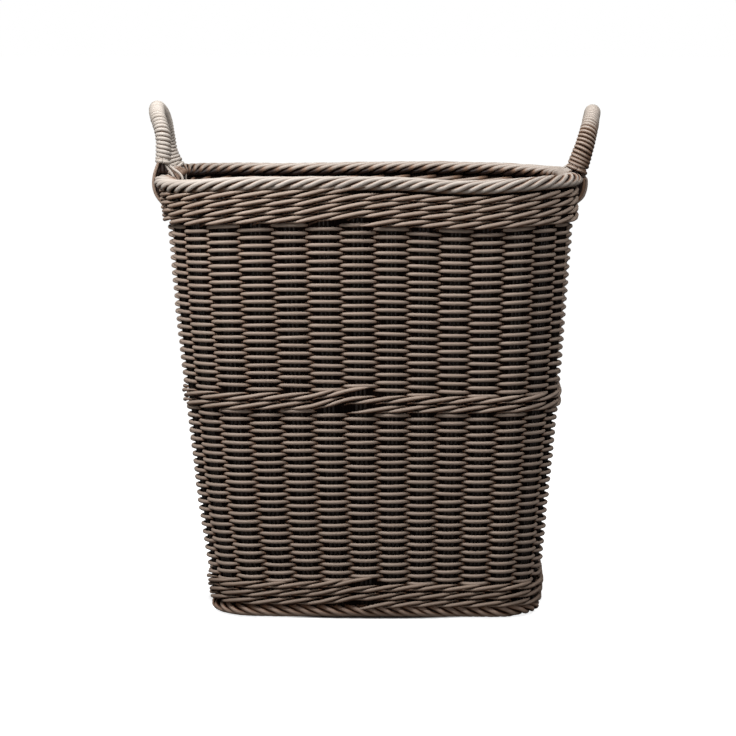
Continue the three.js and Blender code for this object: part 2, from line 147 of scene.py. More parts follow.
@dataclass(frozen=True)
class Wall:
    """The middle surface of the stakes, a rounded rectangle that widens upwards.

    The stakes are gathered a little near gathered_at, and shifts are how far the wall leans to the right at
    each of the shift_heights.
    """

    base_half_width: float = 159.6
    rim_half_width: float = 203.2
    base_half_depth: float = 119.0
    rim_half_depth: float = 152.2
    base_corner: float = 43.0
    rim_corner: float = 87.3
    swell: float = 0.39
    stakes: int = 38
    stake_shift: float = 2.0
    gathered: float = 4.3
    gathered_at: float = 0.5
    gathered_width: float = 3.0
    rim_z: float = 439.8
    top_z: float = 453.3
    sags: tuple[Sag, ...] = (Sag(-60, 15, 5.5), Sag(33, 15, 4.0), Sag(118, 22, 3.0), Sag(-150, 25, 2.0))
    sag_power: int = 3
    sag_limit: float = 1.02
    shift_heights: tuple[float, ...] = (0, 30, 110, 200, 300, 410, 447)
    shifts: tuple[float, ...] = (4.0, 3.5, 0.8, 0.2, -1.4, -2.0, -4.0)
    border_widening: float = 0.013
    widening_heights: Pair = (436, 446)

    def shape(self, z: np.ndarray) -> tuple[np.ndarray, np.ndarray, np.ndarray]:
        """The wall's outline at each height.

        Args:
            z: The heights.

        Returns:
            The half width, the half depth and the corner radius.
        """
        t = np.minimum(z, self.rim_z) / self.rim_z
        s = t + self.swell * t * (1 - t)
        return (
            self.base_half_width + (self.rim_half_width - self.base_half_width) * s,
            self.base_half_depth + (self.rim_half_depth - self.base_half_depth) * s,
            self.base_corner + (self.rim_corner - self.base_corner) * t,
        )

    def shape_at(self, z: float) -> Triple:
        """Half width, half depth and corner radius at one height."""
        return tuple(float(value) for value in self.shape(np.asarray(z)))

    def around(self, z: np.ndarray) -> np.ndarray:
        """The length round the wall at each height."""
        half_width, half_depth, corner = self.shape(z)
        return 4 * (half_width + half_depth) - (8 - TURN) * corner

    def pitch(self, z: np.ndarray) -> np.ndarray:
        """The length from one stake to the next at each height."""
        return self.around(z) / self.stakes

    def points(self, u: np.ndarray, z: np.ndarray, reach: np.ndarray) -> tuple[np.ndarray, np.ndarray]:
        """Points on or off the wall, and the wall's outward direction there.

        Args:
            u: Place round the wall in stakes, from the front's middle to the right.
            z: Height of each point.
            reach: Distance outwards from the middle of the stakes.

        Returns:
            The points and the unit directions, each with three numbers to a point.
        """
        u, z, reach = np.broadcast_arrays(u, z, reach)
        half_width, half_depth, corner = self.shape(z)
        around = self.around(z)
        near = np.mod(u - self.gathered_at + self.stakes / 2, self.stakes) - self.stakes / 2
        gathered = self.gathered * np.exp(-((near / self.gathered_width) ** 2))
        s = u * around / self.stakes + self.stake_shift + gathered
        long_half = half_width - corner
        short_half = half_depth - corner
        arc = corner * math.pi / 2
        rest = np.mod(s + long_half, around)
        first = 2 * long_half + arc
        second = first + 2 * short_half + arc
        third = second + 2 * long_half + arc
        quarter = (rest > first).astype(int) + (rest > second) + (rest > third)
        starts = np.stack([np.zeros_like(first), first, second, third])
        rest = rest - np.take_along_axis(starts, quarter[None], 0)[0]
        on_long = quarter % 2 == 0
        half = np.where(on_long, long_half, short_half)
        away = np.where(on_long, half_depth, half_width)
        bend = np.maximum(rest - 2 * half, 0) / corner
        along = np.minimum(rest, 2 * half) - half + corner * np.sin(bend)
        away = away - corner + corner * np.cos(bend)
        cos = np.array([1, 0, -1, 0])[quarter]
        sin = np.array([0, 1, 0, -1])[quarter]
        normal_x = np.sin(bend) * cos + np.cos(bend) * sin
        normal_y = np.sin(bend) * sin - np.cos(bend) * cos
        x = along * cos + away * sin + reach * normal_x
        y = along * sin - away * cos + reach * normal_y
        normals = np.stack([normal_x, normal_y, np.zeros_like(normal_x)], -1)
        return self.settled(np.stack([x, y, z], -1)), normals

    def settled(self, points: np.ndarray) -> np.ndarray:
        """Moves points as the hand-made wall has settled: its rim sags and it stands a little askew.

        Args:
            points: Points of the even wall.

        Returns:
            The moved points.
        """
        x, y, z = points[..., 0], points[..., 1], points[..., 2]
        direction = np.degrees(np.arctan2(x, -y))
        share = np.clip(z / self.rim_z, 0, self.sag_limit) ** self.sag_power
        sag = np.zeros_like(z)
        for place in self.sags:
            away = np.mod(direction - place.direction + 180, 360) - 180
            sag += place.depth * np.exp(-((away / place.width) ** 2))
        shifted = x + np.interp(z, self.shift_heights, self.shifts)
        shifted += x * self.border_widening * smooth_step(*self.widening_heights, z)
        return np.stack([shifted, y, z - sag * share], -1)


WALL = Wall()


@dataclass
class CaneMesh:
    """Gathers canes as tubes and joins them into one mesh.

    Each vertex carries its cane's tint and its painted shade: how far the cane is darkened where it lies
    deep between other canes.
    """

    sides: int = 8
    cap_length: float = 0.01
    outer_sides: Pair = (-0.95, -0.5)
    vertices: list[np.ndarray] = field(default_factory=list)
    quads: list[np.ndarray] = field(default_factory=list)
    caps: list[np.ndarray] = field(default_factory=list)
    quad_uvs: list[np.ndarray] = field(default_factory=list)
    cap_uvs: list[np.ndarray] = field(default_factory=list)
    tints: list[np.ndarray] = field(default_factory=list)
    painted_shades: list[np.ndarray] = field(default_factory=list)
    count: int = 0

    def angles(self) -> np.ndarray:
        """The turn of each side about the cane, from the side that its up points to."""
        return TURN * np.arange(self.sides) / self.sides

    def add(
        self,
        points: np.ndarray,
        up: np.ndarray,
        radius: float | np.ndarray,
        tint: float,
        painted_shade: float | np.ndarray = 0.0,
    ) -> None:
        """Adds one cane.

        Args:
            points: The cane's middle line in millimetres, one row to a point.
            up: A direction across the cane at each point.
            radius: The cane's radius, alike all over or at each point.
            tint: A number from 0 to 1 that sets the cane's shade.
            painted_shade: From 0 to 1, how much shade is painted on the cane where it lies deep between
                other canes,
            alike all over or with a row to each point and a column to each side.
        """
        steps = len(points)
        tangent = np.gradient(points, axis=0)
        tangent /= np.linalg.norm(tangent, axis=1, keepdims=True)
        across = np.cross(tangent, np.broadcast_to(up, points.shape))
        across /= np.linalg.norm(across, axis=1, keepdims=True)
        over = np.cross(across, tangent)
        angle = self.angles()
        size = np.broadcast_to(radius, steps)[:, None, None]
        cos = np.cos(angle)[None, :, None]
        sin = np.sin(angle)[None, :, None]
        ring = over[:, None] * cos + across[:, None] * sin
        self.vertices.append((points[:, None] + ring * size).reshape(-1, 3))
        self.tints.append(np.full(steps * self.sides, tint))
        self.painted_shades.append(np.broadcast_to(painted_shade, (steps, self.sides)).reshape(-1))

        step, side = np.meshgrid(np.arange(steps - 1), np.arange(self.sides), indexing="ij")
        beside = (side + 1) % self.sides
        here = self.count + step * self.sides
        there = here + self.sides
        corners = [here + side, here + beside, there + beside, there + side]
        self.quads.append(np.stack(corners, -1).reshape(-1, 4))
        moved = np.linalg.norm(np.diff(points, axis=0), axis=1)
        travelled = np.concatenate([[0], np.cumsum(moved)]) * METRES
        before = travelled[step]
        after = travelled[step + 1]
        low = side / self.sides
        high = (side + 1) / self.sides
        uvs = [(before, low), (before, high), (after, high), (after, low)]
        self.quad_uvs.append(np.stack([np.stack(pair, -1) for pair in uvs], -2).reshape(-1, 4, 2))

        first = self.count + np.arange(self.sides)[::-1]
        last = self.count + (steps - 1) * self.sides + np.arange(self.sides)
        self.caps.append(np.stack([first, last]))
        disc = np.stack([np.cos(angle), np.sin(angle)], -1) / 2
        ends = np.stack([disc[::-1] + [0, 0.5], disc + [travelled[-1], 0.5]])
        self.cap_uvs.append(ends * [self.cap_length, 1])
        self.count += steps * self.sides

    def facing(self) -> np.ndarray:
        """How far each side of a cane faces the way that its up points, from -1 to 1."""
        return np.cos(self.angles())

    def facing_out(self) -> np.ndarray:
        """Which sides of a cane are seen from outside the wall, from 0 to 1."""
        return smooth_step(*self.outer_sides, self.facing())

    def below(self) -> np.ndarray:
        """How far each side of a cane that runs round the wall looks down, from -1 to 1."""
        return np.sin(self.angles())

    def near_middle(self, reach: np.ndarray, radius: float, depths: Pair) -> np.ndarray:
        """How deep in the wall each vertex lies: 1 up to the first distance of depths, 0 past the second."""
        return 1 - smooth_step(*depths, np.abs(reach[:, None] + radius * self.facing()))

    def build(self, name: str, material: bpy.types.Material) -> bpy.types.Object:
        """Makes the gathered canes one object.

        Args:
            name: The object's name.
            material: Its finish.

        Returns:
            The new object, at the origin.
        """
        vertices = np.concatenate(self.vertices) * METRES
        quads = np.concatenate(self.quads)
        caps = np.concatenate(self.caps)
        mesh = bpy.data.meshes.new(name)
        mesh.vertices.add(len(vertices))
        mesh.vertices.foreach_set("co", vertices.astype(np.float32).ravel())
        loops = np.concatenate([quads.ravel(), caps.ravel()])
        mesh.loops.add(len(loops))
        mesh.loops.foreach_set("vertex_index", loops.astype(np.int32))
        totals = np.concatenate([np.full(len(quads), 4), np.full(len(caps), self.sides)])
        mesh.polygons.add(len(totals))
        starts = np.cumsum(totals) - totals
        mesh.polygons.foreach_set("loop_start", starts.astype(np.int32))
        mesh.polygons.foreach_set("use_smooth", np.ones(len(totals), bool))
        uvs = [np.concatenate(part).reshape(-1, 2) for part in (self.quad_uvs, self.cap_uvs)]
        layer = mesh.uv_layers.new(name="Length")
        layer.data.foreach_set("uv", np.concatenate(uvs).astype(np.float32).ravel())
        # The tint and the painted shade go into attributes that the material reads.
        for key, values in (("tint", self.tints), ("painted_shade", self.painted_shades)):
            attribute = mesh.attributes.new(key, "FLOAT", "POINT")
            attribute.data.foreach_set("value", np.concatenate(values).astype(np.float32))
        mesh.update(calc_edges=True)
        mesh.validate()
        mesh.materials.append(material)
        piece = bpy.data.objects.new(name, mesh)
        bpy.context.scene.collection.objects.link(piece)
        return piece


class NodeTree:
    """Adds and joins the nodes of a material or of the world."""

    def __init__(self, owner: bpy.types.Material | bpy.types.World) -> None:
        """Takes the owner's tree.

        Args:
            owner: The material or world.
        """
        owner.use_nodes = True
        self.nodes = owner.node_tree.nodes
        self.links = owner.node_tree.links

    def add(
        self, kind: str, values: dict[str | int, object] | None = None, **settings: object
    ) -> bpy.types.Node:
        """Adds a node.

        Args:
            kind: Its type, without the words that every type begins with.
            values: What goes into its inputs, by name or number: a plain value or another node's output.
            settings: Its own settings.

        Returns:
            The node.
        """
        node = self.nodes.new(f"ShaderNode{kind}")
        for key, value in settings.items():
            setattr(node, key, value)
        self.fill(node, values or {})
        return node

    def fill(self, node: bpy.types.Node, values: dict[str | int, object]) -> None:
        """Sets or joins a node's inputs.

        Args:
            node: The node.
            values: What goes into its inputs, as for a new node.
        """
        for key, value in values.items():
            if isinstance(value, bpy.types.NodeSocket):
                self.links.new(value, node.inputs[key])
            else:
                node.inputs[key].default_value = value

    def sum(self, operation: str, *values: object, clamp: bool = False) -> bpy.types.NodeSocket:
        """The result of a sum of up to three values or outputs."""
        return self.add("Math", dict(enumerate(values)), operation=operation, use_clamp=clamp).outputs[0]

    def mix(self, share: object, low: object, high: object, blend: str = "MIX") -> bpy.types.NodeSocket:
        """A colour mixed from two others by a share."""
        return self.add("Mix", {0: share, 6: low, 7: high}, data_type="RGBA", blend_type=blend).outputs[2]

    def camera_or(self, otherwise: object, camera: object) -> bpy.types.NodeSocket:
        """One shader for what the camera sees of a surface, and another for all other light."""
        seen = self.add("LightPath").outputs["Is Camera Ray"]
        return self.add("MixShader", {0: seen, 1: otherwise, 2: camera}).outputs[0]


@dataclass(frozen=True)
class CaneFinish:
    """Matte plastic cane: a taupe that varies from cane to cane, with fine lengthwise streaks."""

    name: str
    pale: Triple
    deep: Triple
    # Painted shade colours: brown half way into the dark between canes, near black deep in it.
    shadow: Triple = (0.52, 0.35, 0.255)
    crevice_shade: Triple = (0.035, 0.015, 0.010)
    roughness: float = 0.5
    specular: float = 0.3
    streaks: float = 0.35
    streak_stretch: Pair = (18, 9)
    streak_detail: float = 3
    cloud_stretch: Pair = (26, 1.2)
    cloud_detail: float = 2
    cloud_share: float = 0.9
    cloud_start: float = -0.22
    tint_share: float = 0.55
    tint_spread: float = 37
    bump: float = 0.25
    bump_height: float = 0.0004

    def noise(
        self, tree: NodeTree, tint: bpy.types.NodeSocket, stretch: Pair, detail: float
    ) -> bpy.types.NodeSocket:
        """A noise on the cane's own length and girth, which differs from cane to cane.

        Args:
            tree: The material's nodes.
            tint: The cane's tint.
            stretch: The noise's scale along the cane and round it.
            detail: Its detail.

        Returns:
            The noise.
        """
        length = tree.add("UVMap", uv_map="Length").outputs["UV"]
        place = tree.add("Mapping", {"Vector": length, "Scale": (*stretch, 1)}).outputs[0]
        own = tree.sum("MULTIPLY", tint, self.tint_spread)
        made = tree.add("TexNoise", noise_dimensions="4D")
        tree.fill(made, {"Scale": 1, "Detail": detail, "W": own, "Vector": place})
        return made.outputs["Fac"]

    def darkening(self, tree: NodeTree) -> bpy.types.NodeSocket:
        """The painted shade: the brown and then black that a cane is darkened by where it dives between
        others.

        Args:
            tree: The material's nodes.

        Returns:
            The colour that the cane's own is multiplied by.
        """
        painted_shade = tree.add("Attribute", attribute_name="painted_shade").outputs["Fac"]
        depth = tree.add("ValToRGB", {0: painted_shade})
        ramp = depth.color_ramp.elements
        ramp[0].color = (1, 1, 1, 1)
        ramp[1].color = (*self.crevice_shade, 1)
        ramp.new(0.5).color = (*self.shadow, 1)
        return depth.outputs["Color"]

    def build(self) -> bpy.types.Material:
        """Makes the material.

        Returns:
            The material, which reads the cane's own length, tint and painted shade.
        """
        material = bpy.data.materials.new(self.name)
        tree = NodeTree(material)
        tint = tree.add("Attribute", attribute_name="tint").outputs["Fac"]
        streak = self.noise(tree, tint, self.streak_stretch, self.streak_detail)
        cloud = self.noise(tree, tint, self.cloud_stretch, self.cloud_detail)
        clouded = tree.sum("MULTIPLY_ADD", cloud, self.cloud_share, self.cloud_start)
        blended = tree.sum("MULTIPLY_ADD", tint, self.tint_share, clouded)
        lowered = tree.sum("SUBTRACT", blended, self.streaks / 2)
        streaked = tree.sum("MULTIPLY_ADD", streak, self.streaks, lowered, clamp=True)
        shade = tree.mix(streaked, (*self.deep, 1), (*self.pale, 1))
        bump = tree.add("Bump", {"Strength": self.bump, "Distance": self.bump_height, "Height": streak})
        tree.fill(
            tree.nodes["Principled BSDF"],
            {
                # The cane's own colour, darkened by the painted shade.
                "Base Color": tree.mix(1, shade, self.darkening(tree), "MULTIPLY"),
                "Roughness": self.roughness,
                "Specular IOR Level": self.specular,
                "Normal": bump.outputs["Normal"],
            },
        )
        return material


class Finishes:
    """The finishes of the basket's canes."""

    def __init__(self) -> None:
        """Builds each material once."""
        self.wall = CaneFinish("taupe wall cane", (0.435, 0.343, 0.279), (0.25, 0.182, 0.142)).build()
        # Border and handle canes are paler and greyer than the wall cane: painted light from above on the
        # rim and handles.
        self.border = CaneFinish("border cane with painted top light", (0.52, 0.47, 0.425), (0.31, 0.26, 0.22)).build()
        self.handle = CaneFinish("handle cane with painted top light", (0.47, 0.43, 0.39), (0.36, 0.31, 0.265)).build()
        # The foot border's brown cane is made lighter to paint the light thrown up from the floor.
        self.foot = CaneFinish("brown foot cane", (0.50, 0.37, 0.29), (0.27, 0.185, 0.14)).build()
        # The wall cane made darker for the lowest twisted rows: painted shade near the foot.
        self.low = CaneFinish("low wall cane in painted shade", (0.37, 0.28, 0.22), (0.20, 0.142, 0.108)).build()
        self.bottom = CaneFinish("taupe bottom cane", (0.36, 0.285, 0.23), (0.20, 0.15, 0.115)).build()
        # Stakes and bottom bundles are nearly black: painted shade on canes that lie behind the weave.
        self.stake = CaneFinish(
            "stake cane in painted shade", (0.04, 0.028, 0.022), (0.015, 0.01, 0.008), roughness=0.42
        ).build()
        # Black filling canes: painted shade that closes the gaps in the wall.
        self.shade = CaneFinish(
            "painted shade filling cane", (0.016, 0.010, 0.008), (0.008, 0.005, 0.004), roughness=0.9, specular=0.0
        ).build()


def finish_piece(piece: bpy.types.Object, slot: str, *replaced: str) -> None:
    """Ties a piece to the frame, hides the nodes that it replaces and logs its size.

    Args:
        piece: The finished object.
        slot: Not used.
        replaced: The nodes that the piece replaces.
    """
    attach(piece, BODY)
    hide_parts(*replaced)
    LOG.info("%s: %d faces", piece.name, len(piece.data.polygons))


@dataclass(frozen=True)
class FineBand:
    """A band of fine weave: two weavers climb the wall together, in front of every other stake.

    The two numbers of sags, thicker and tilts are for the band's foot and head: how far a pass sags, how
    much thicker a cane is on it than where the weavers cross, and how far the band leans to one side.
    """

    node: str
    low: float
    high: float
    rows: int
    seed: int
    sags: Pair
    back_sag: float
    thicker: Pair
    tilts: Pair
    before_end: float
    start_shift: float = -9.0
    second_begin: float = 0.9
    cane_radius: float = 1.6
    reach: float = 4.5
    offset: float = 0.8
    fullness: float = 0.22
    steps: int = 8
    looseness: float = 0.18
    uneven_reach: float = 0.05
    tints: Pair = (0.4, 0.6)
    shaded_reach: float = 5.3
    shaded_offset: float = 1.5
    shaded_depths: Pair = (0.6, 3.6)
    # Painted shade on the parts behind the stakes and on the undersides.
    behind: Pair = (0.1, 0.5)
    underside: Pair = (-0.1, 1.0)
    underside_painted_shade: float = 0.1
    front_share: float = 0.2
    taper_end: float = 0.7

    def weaver(self, turn: int, draw: np.random.Generator) -> CaneMesh:
        """Makes one of the two weavers.

        Args:
            turn: 0 or 1, for the weaver that passes the even or the odd stakes in front.
            draw: The seeded source of random numbers.

        Returns:
            The weaver, as one unbroken cane.
        """
        stakes = WALL.stakes
        start = turn * stakes / 2 + self.start_shift
        pitch = (self.high - self.low - 2 * self.cane_radius) / self.rows
        whole = self.rows / 2 * stakes
        begin = self.second_begin if turn else start
        end = min(start + whole, whole - self.before_end)
        u = begin + np.arange(int((end - begin) * self.steps) + 1) / self.steps
        height = (u - start) / whole
        swing = np.cos(math.pi * (u - 0.5)) * (1 - 2 * turn)
        swing *= 1 + self.fullness - self.fullness * swing**2
        z = self.low + self.cane_radius + 2 * pitch * (u - start) / stakes
        z += wobble(draw, u, self.looseness)
        z -= along_band(self.tilts, height) * np.sin(TURN * u / stakes)
        z -= np.where(swing > 0, along_band(self.sags, height), -self.back_sag) * swing
        reach = self.reach * swing * (1 + wobble(draw, u, self.uneven_reach)) + self.offset
        points, normals = WALL.points(u, z, reach)
        made = CaneMesh()
        # Painted shade: darker deep in the wall, on the sides that face the stakes from behind, and
        # underneath.
        shaded = self.shaded_reach * swing + self.shaded_offset
        painted_shade = made.near_middle(shaded, self.cane_radius, self.shaded_depths)
        painted_shade = np.maximum(painted_shade, smooth_step(*self.behind, -swing)[:, None] * made.facing_out())
        painted_shade = np.maximum(painted_shade, self.underside_painted_shade * smooth_step(*self.underside, made.below()))
        lens = smooth_step(0, self.taper_end, np.abs(swing) + self.front_share * swing)
        radius = self.cane_radius + along_band(self.thicker, height) * lens
        made.add(points, normals, radius, draw.uniform(*self.tints), painted_shade)
        return made

    def build(self, finishes: Finishes) -> None:
        """Makes both weavers as pieces that stand for the band's solid.

        Args:
            finishes: The finishes of the basket's canes.
        """
        draw = np.random.default_rng(self.seed)
        for turn, name in enumerate(("first", "second")):
            piece = self.weaver(turn, draw).build(f"{self.node}_{name}_weaver", finishes.wall)
            finish_piece(piece, "wall_cane", self.node)


@dataclass(frozen=True)
class TwistedBand:
    """Rows of three canes twisted round the stakes: in front of two stakes and behind the third.

    A cane's turn is how many passes it has gone since it came out of the wall. Outside, rises, falls,
    comes_up, thickens, thins, in_front, shown and crossing are stretches of it, and climbs and drawn are
    stretches of a round that starts at the seam.
    """

    node: str
    first_z: float
    rows: float
    pitch: float
    rise: float
    outer_reach: float
    seed: int
    seam: float
    packed_rows: Pair
    passes: int = 38
    at_foot: bool = False
    seam_stretch: float = 0.0
    before_seam: float = 0.45
    after_seam: float = 0.2
    climbs: tuple[Pair, Pair] = ((0, 0.05), (0.96, 1))
    drawn: tuple[Pair, Pair] = ((0, 0.9), (0.965, 1))
    strands: int = 3
    cane_radius: float = 2.05
    inner_drop: float = 0.42
    inner_reach: float = 4.6
    steps: int = 10
    looseness: float = 0.22
    uneven_reach: float = 0.2
    tints: Pair = (0.35, 0.65)
    last_gap: float = 0.9
    first_turn: float = -0.85
    open_start: float = 0.3
    hidden_start: float = 1.2
    run_on: float = 2.2
    outside: tuple[Pair, Pair] = ((-0.8, 0.3), (1.2, 2.15))
    rises: Pair = (-0.1, 1.5)
    falls: Pair = (1.6, 2.1)
    comes_up: Pair = (-0.5, -0.1)
    thin_start: float = 0.3
    thickens: Pair = (-0.2, 0.5)
    thins: Pair = (1.0, 1.6)
    thin_end: float = 0.6
    hidden_radius: float = 1.05
    in_front: tuple[Pair, Pair] = ((-0.45, -0.25), (1.75, 2.1))
    shown: tuple[Pair, Pair] = ((-0.3, -0.02), (1.5, 1.8))
    crossing: tuple[Pair, Pair] = ((-0.6, -0.45), (1.95, 2.1))
    # Painted shade where the canes cross, deep in the wall and on their undersides.
    crossing_painted_shade: float = 0.85
    shaded_depths: Pair = (1.2, 4.2)
    underside: Pair = (0.0, 0.95)
    underside_painted_shade: float = 0.6
    packing_reach: float = -2.6
    packing_radius: float = 2.45
    packing_heights: Pair = (0.0, 0.5)
    packing_step: float = 0.5
    packing_tint: float = 0.3

    def climb(self, place: np.ndarray) -> np.ndarray:
        """Rows climbed at each place: slowly round the basket, and faster beside the seam.

        Args:
            place: Places round the wall, in passes.

        Returns:
            The height at each of them, in rows.
        """
        rounds = (place - self.seam) / self.passes
        whole = np.floor(rounds)
        part = rounds - whole
        even = 1 - self.before_seam - self.after_seam
        after, before = (smooth_step(*stretch, part) for stretch in self.climbs)
        return whole + even * part + (self.after_seam * after + self.before_seam * before)

    def stakes_at(self, place: np.ndarray) -> np.ndarray:
        """Each place in stakes: the canes are drawn out a little where a row meets the next one."""
        part = np.mod((place - self.seam) / self.passes, 1)
        return place * WALL.stakes / self.passes - self.seam_stretch * hump(*self.drawn, part)

    def reach_at(self, turn: np.ndarray) -> np.ndarray:
        """Distance of a cane from the middle of the stakes for each turn."""
        return (self.outer_reach + self.inner_reach) * hump(*self.outside, turn) - self.inner_reach

    def lift_at(self, turn: np.ndarray) -> np.ndarray:
        """Height of a cane above its row's foot for each turn.

        Args:
            turn: The turns.

        Returns:
            The height, as a share of the row's rise.
        """
        low, high = self.rises
        straight = np.clip((turn - low) / (high - low), 0, 1)
        outside = 0.5 * straight + 0.5 * smooth_step(0, 1, straight)
        falls = (1 + self.inner_drop) * smooth_step(*self.falls, turn)
        return outside - falls - self.inner_drop * (1 - smooth_step(*self.comes_up, turn))

    def hidden_at(self, turn: np.ndarray) -> np.ndarray:
        """How far a cane is hidden behind the others for each turn, from 0 to 1."""
        return 1 - hump(*self.in_front, turn)

    def radius_at(self, turn: np.ndarray) -> np.ndarray:
        """Radius of a cane for each turn: it thins where it comes out and where it goes in.

        Args:
            turn: The turns.

        Returns:
            The radius.
        """
        slim = self.thin_start + (1 - self.thin_start) * smooth_step(*self.thickens, turn)
        slim *= 1 - self.thin_end * smooth_step(*self.thins, turn)
        hidden = self.hidden_at(turn)
        return self.cane_radius * (slim * (1 - hidden) + self.hidden_radius * hidden)

    def painted_shade_at(self, made: CaneMesh, turn: np.ndarray, reach: np.ndarray) -> np.ndarray:
        """The shade painted on a cane for each turn, darker where it lies deep between others.

        Args:
            made: The mesh that the cane goes into.
            turn: The turns.
            reach: The cane's distance from the middle of the stakes.

        Returns:
            From 0 to 1, with a row to each turn and a column to each side.
        """
        crossing = (1 - hump(*self.shown, turn)) * hump(*self.crossing, turn)
        painted_shade = made.near_middle(reach, self.cane_radius, self.shaded_depths)
        painted_shade = np.maximum(painted_shade, self.crossing_painted_shade * crossing[:, None])
        painted_shade = np.maximum(painted_shade, self.hidden_at(turn)[:, None] * made.facing_out())
        return np.maximum(painted_shade, self.underside_painted_shade * smooth_step(*self.underside, made.below()))

    def build(self, finishes: Finishes) -> None:
        """Makes the rows, and the black filling of painted shade behind them, as pieces that stand for the
        band's solid.

        Args:
            finishes: The finishes of the basket's canes.
        """
        draw = np.random.default_rng(self.seed)
        made = CaneMesh()
        for strand in range(self.strands):
            rounds = math.floor((self.rows * self.passes - self.last_gap - strand) / self.strands)
            start = self.hidden_start if strand == self.strands - 1 else self.open_start
            phase = np.arange(-start, self.strands * rounds + self.run_on, 1 / self.steps)
            place = self.seam + strand + phase
            turn = np.mod(phase - self.first_turn, self.strands) + self.first_turn
            z = self.first_z + self.pitch * self.climb(place) + self.rise * self.lift_at(turn)
            z += wobble(draw, place, self.looseness)
            reach = self.reach_at(turn) + wobble(draw, place, self.uneven_reach)
            points, normals = WALL.points(self.stakes_at(place), z, reach)
            painted_shade = self.painted_shade_at(made, turn, reach)
            made.add(points, normals, self.radius_at(turn), draw.uniform(*self.tints), painted_shade)
        finish = finishes.low if self.at_foot else finishes.wall
        finish_piece(made.build(f"{self.node}_canes", finish), "wall_cane", self.node)
        # The filling is black: painted shade between the rows.
        finish_piece(self.packing().build(f"{self.node}_filling", finishes.shade), "wall_cane", self.node)

    def packing(self) -> CaneMesh:
        """Makes black canes that fill the wall behind the twisted rows and a little past them: painted shade
        that closes the slits between the rows.

        Returns:
            The canes.
        """
        made = CaneMesh(sides=HIDDEN_CANE_SIDES)
        low, high = self.packed_rows
        place = self.seam + np.arange(low * self.passes, high * self.passes, self.packing_step)
        for height in self.packing_heights:
            z = self.first_z + self.pitch * (self.climb(place) + height)
            points, normals = WALL.points(self.stakes_at(place), z, self.packing_reach)
            made.add(points, normals, self.packing_radius, self.packing_tint)
        return made


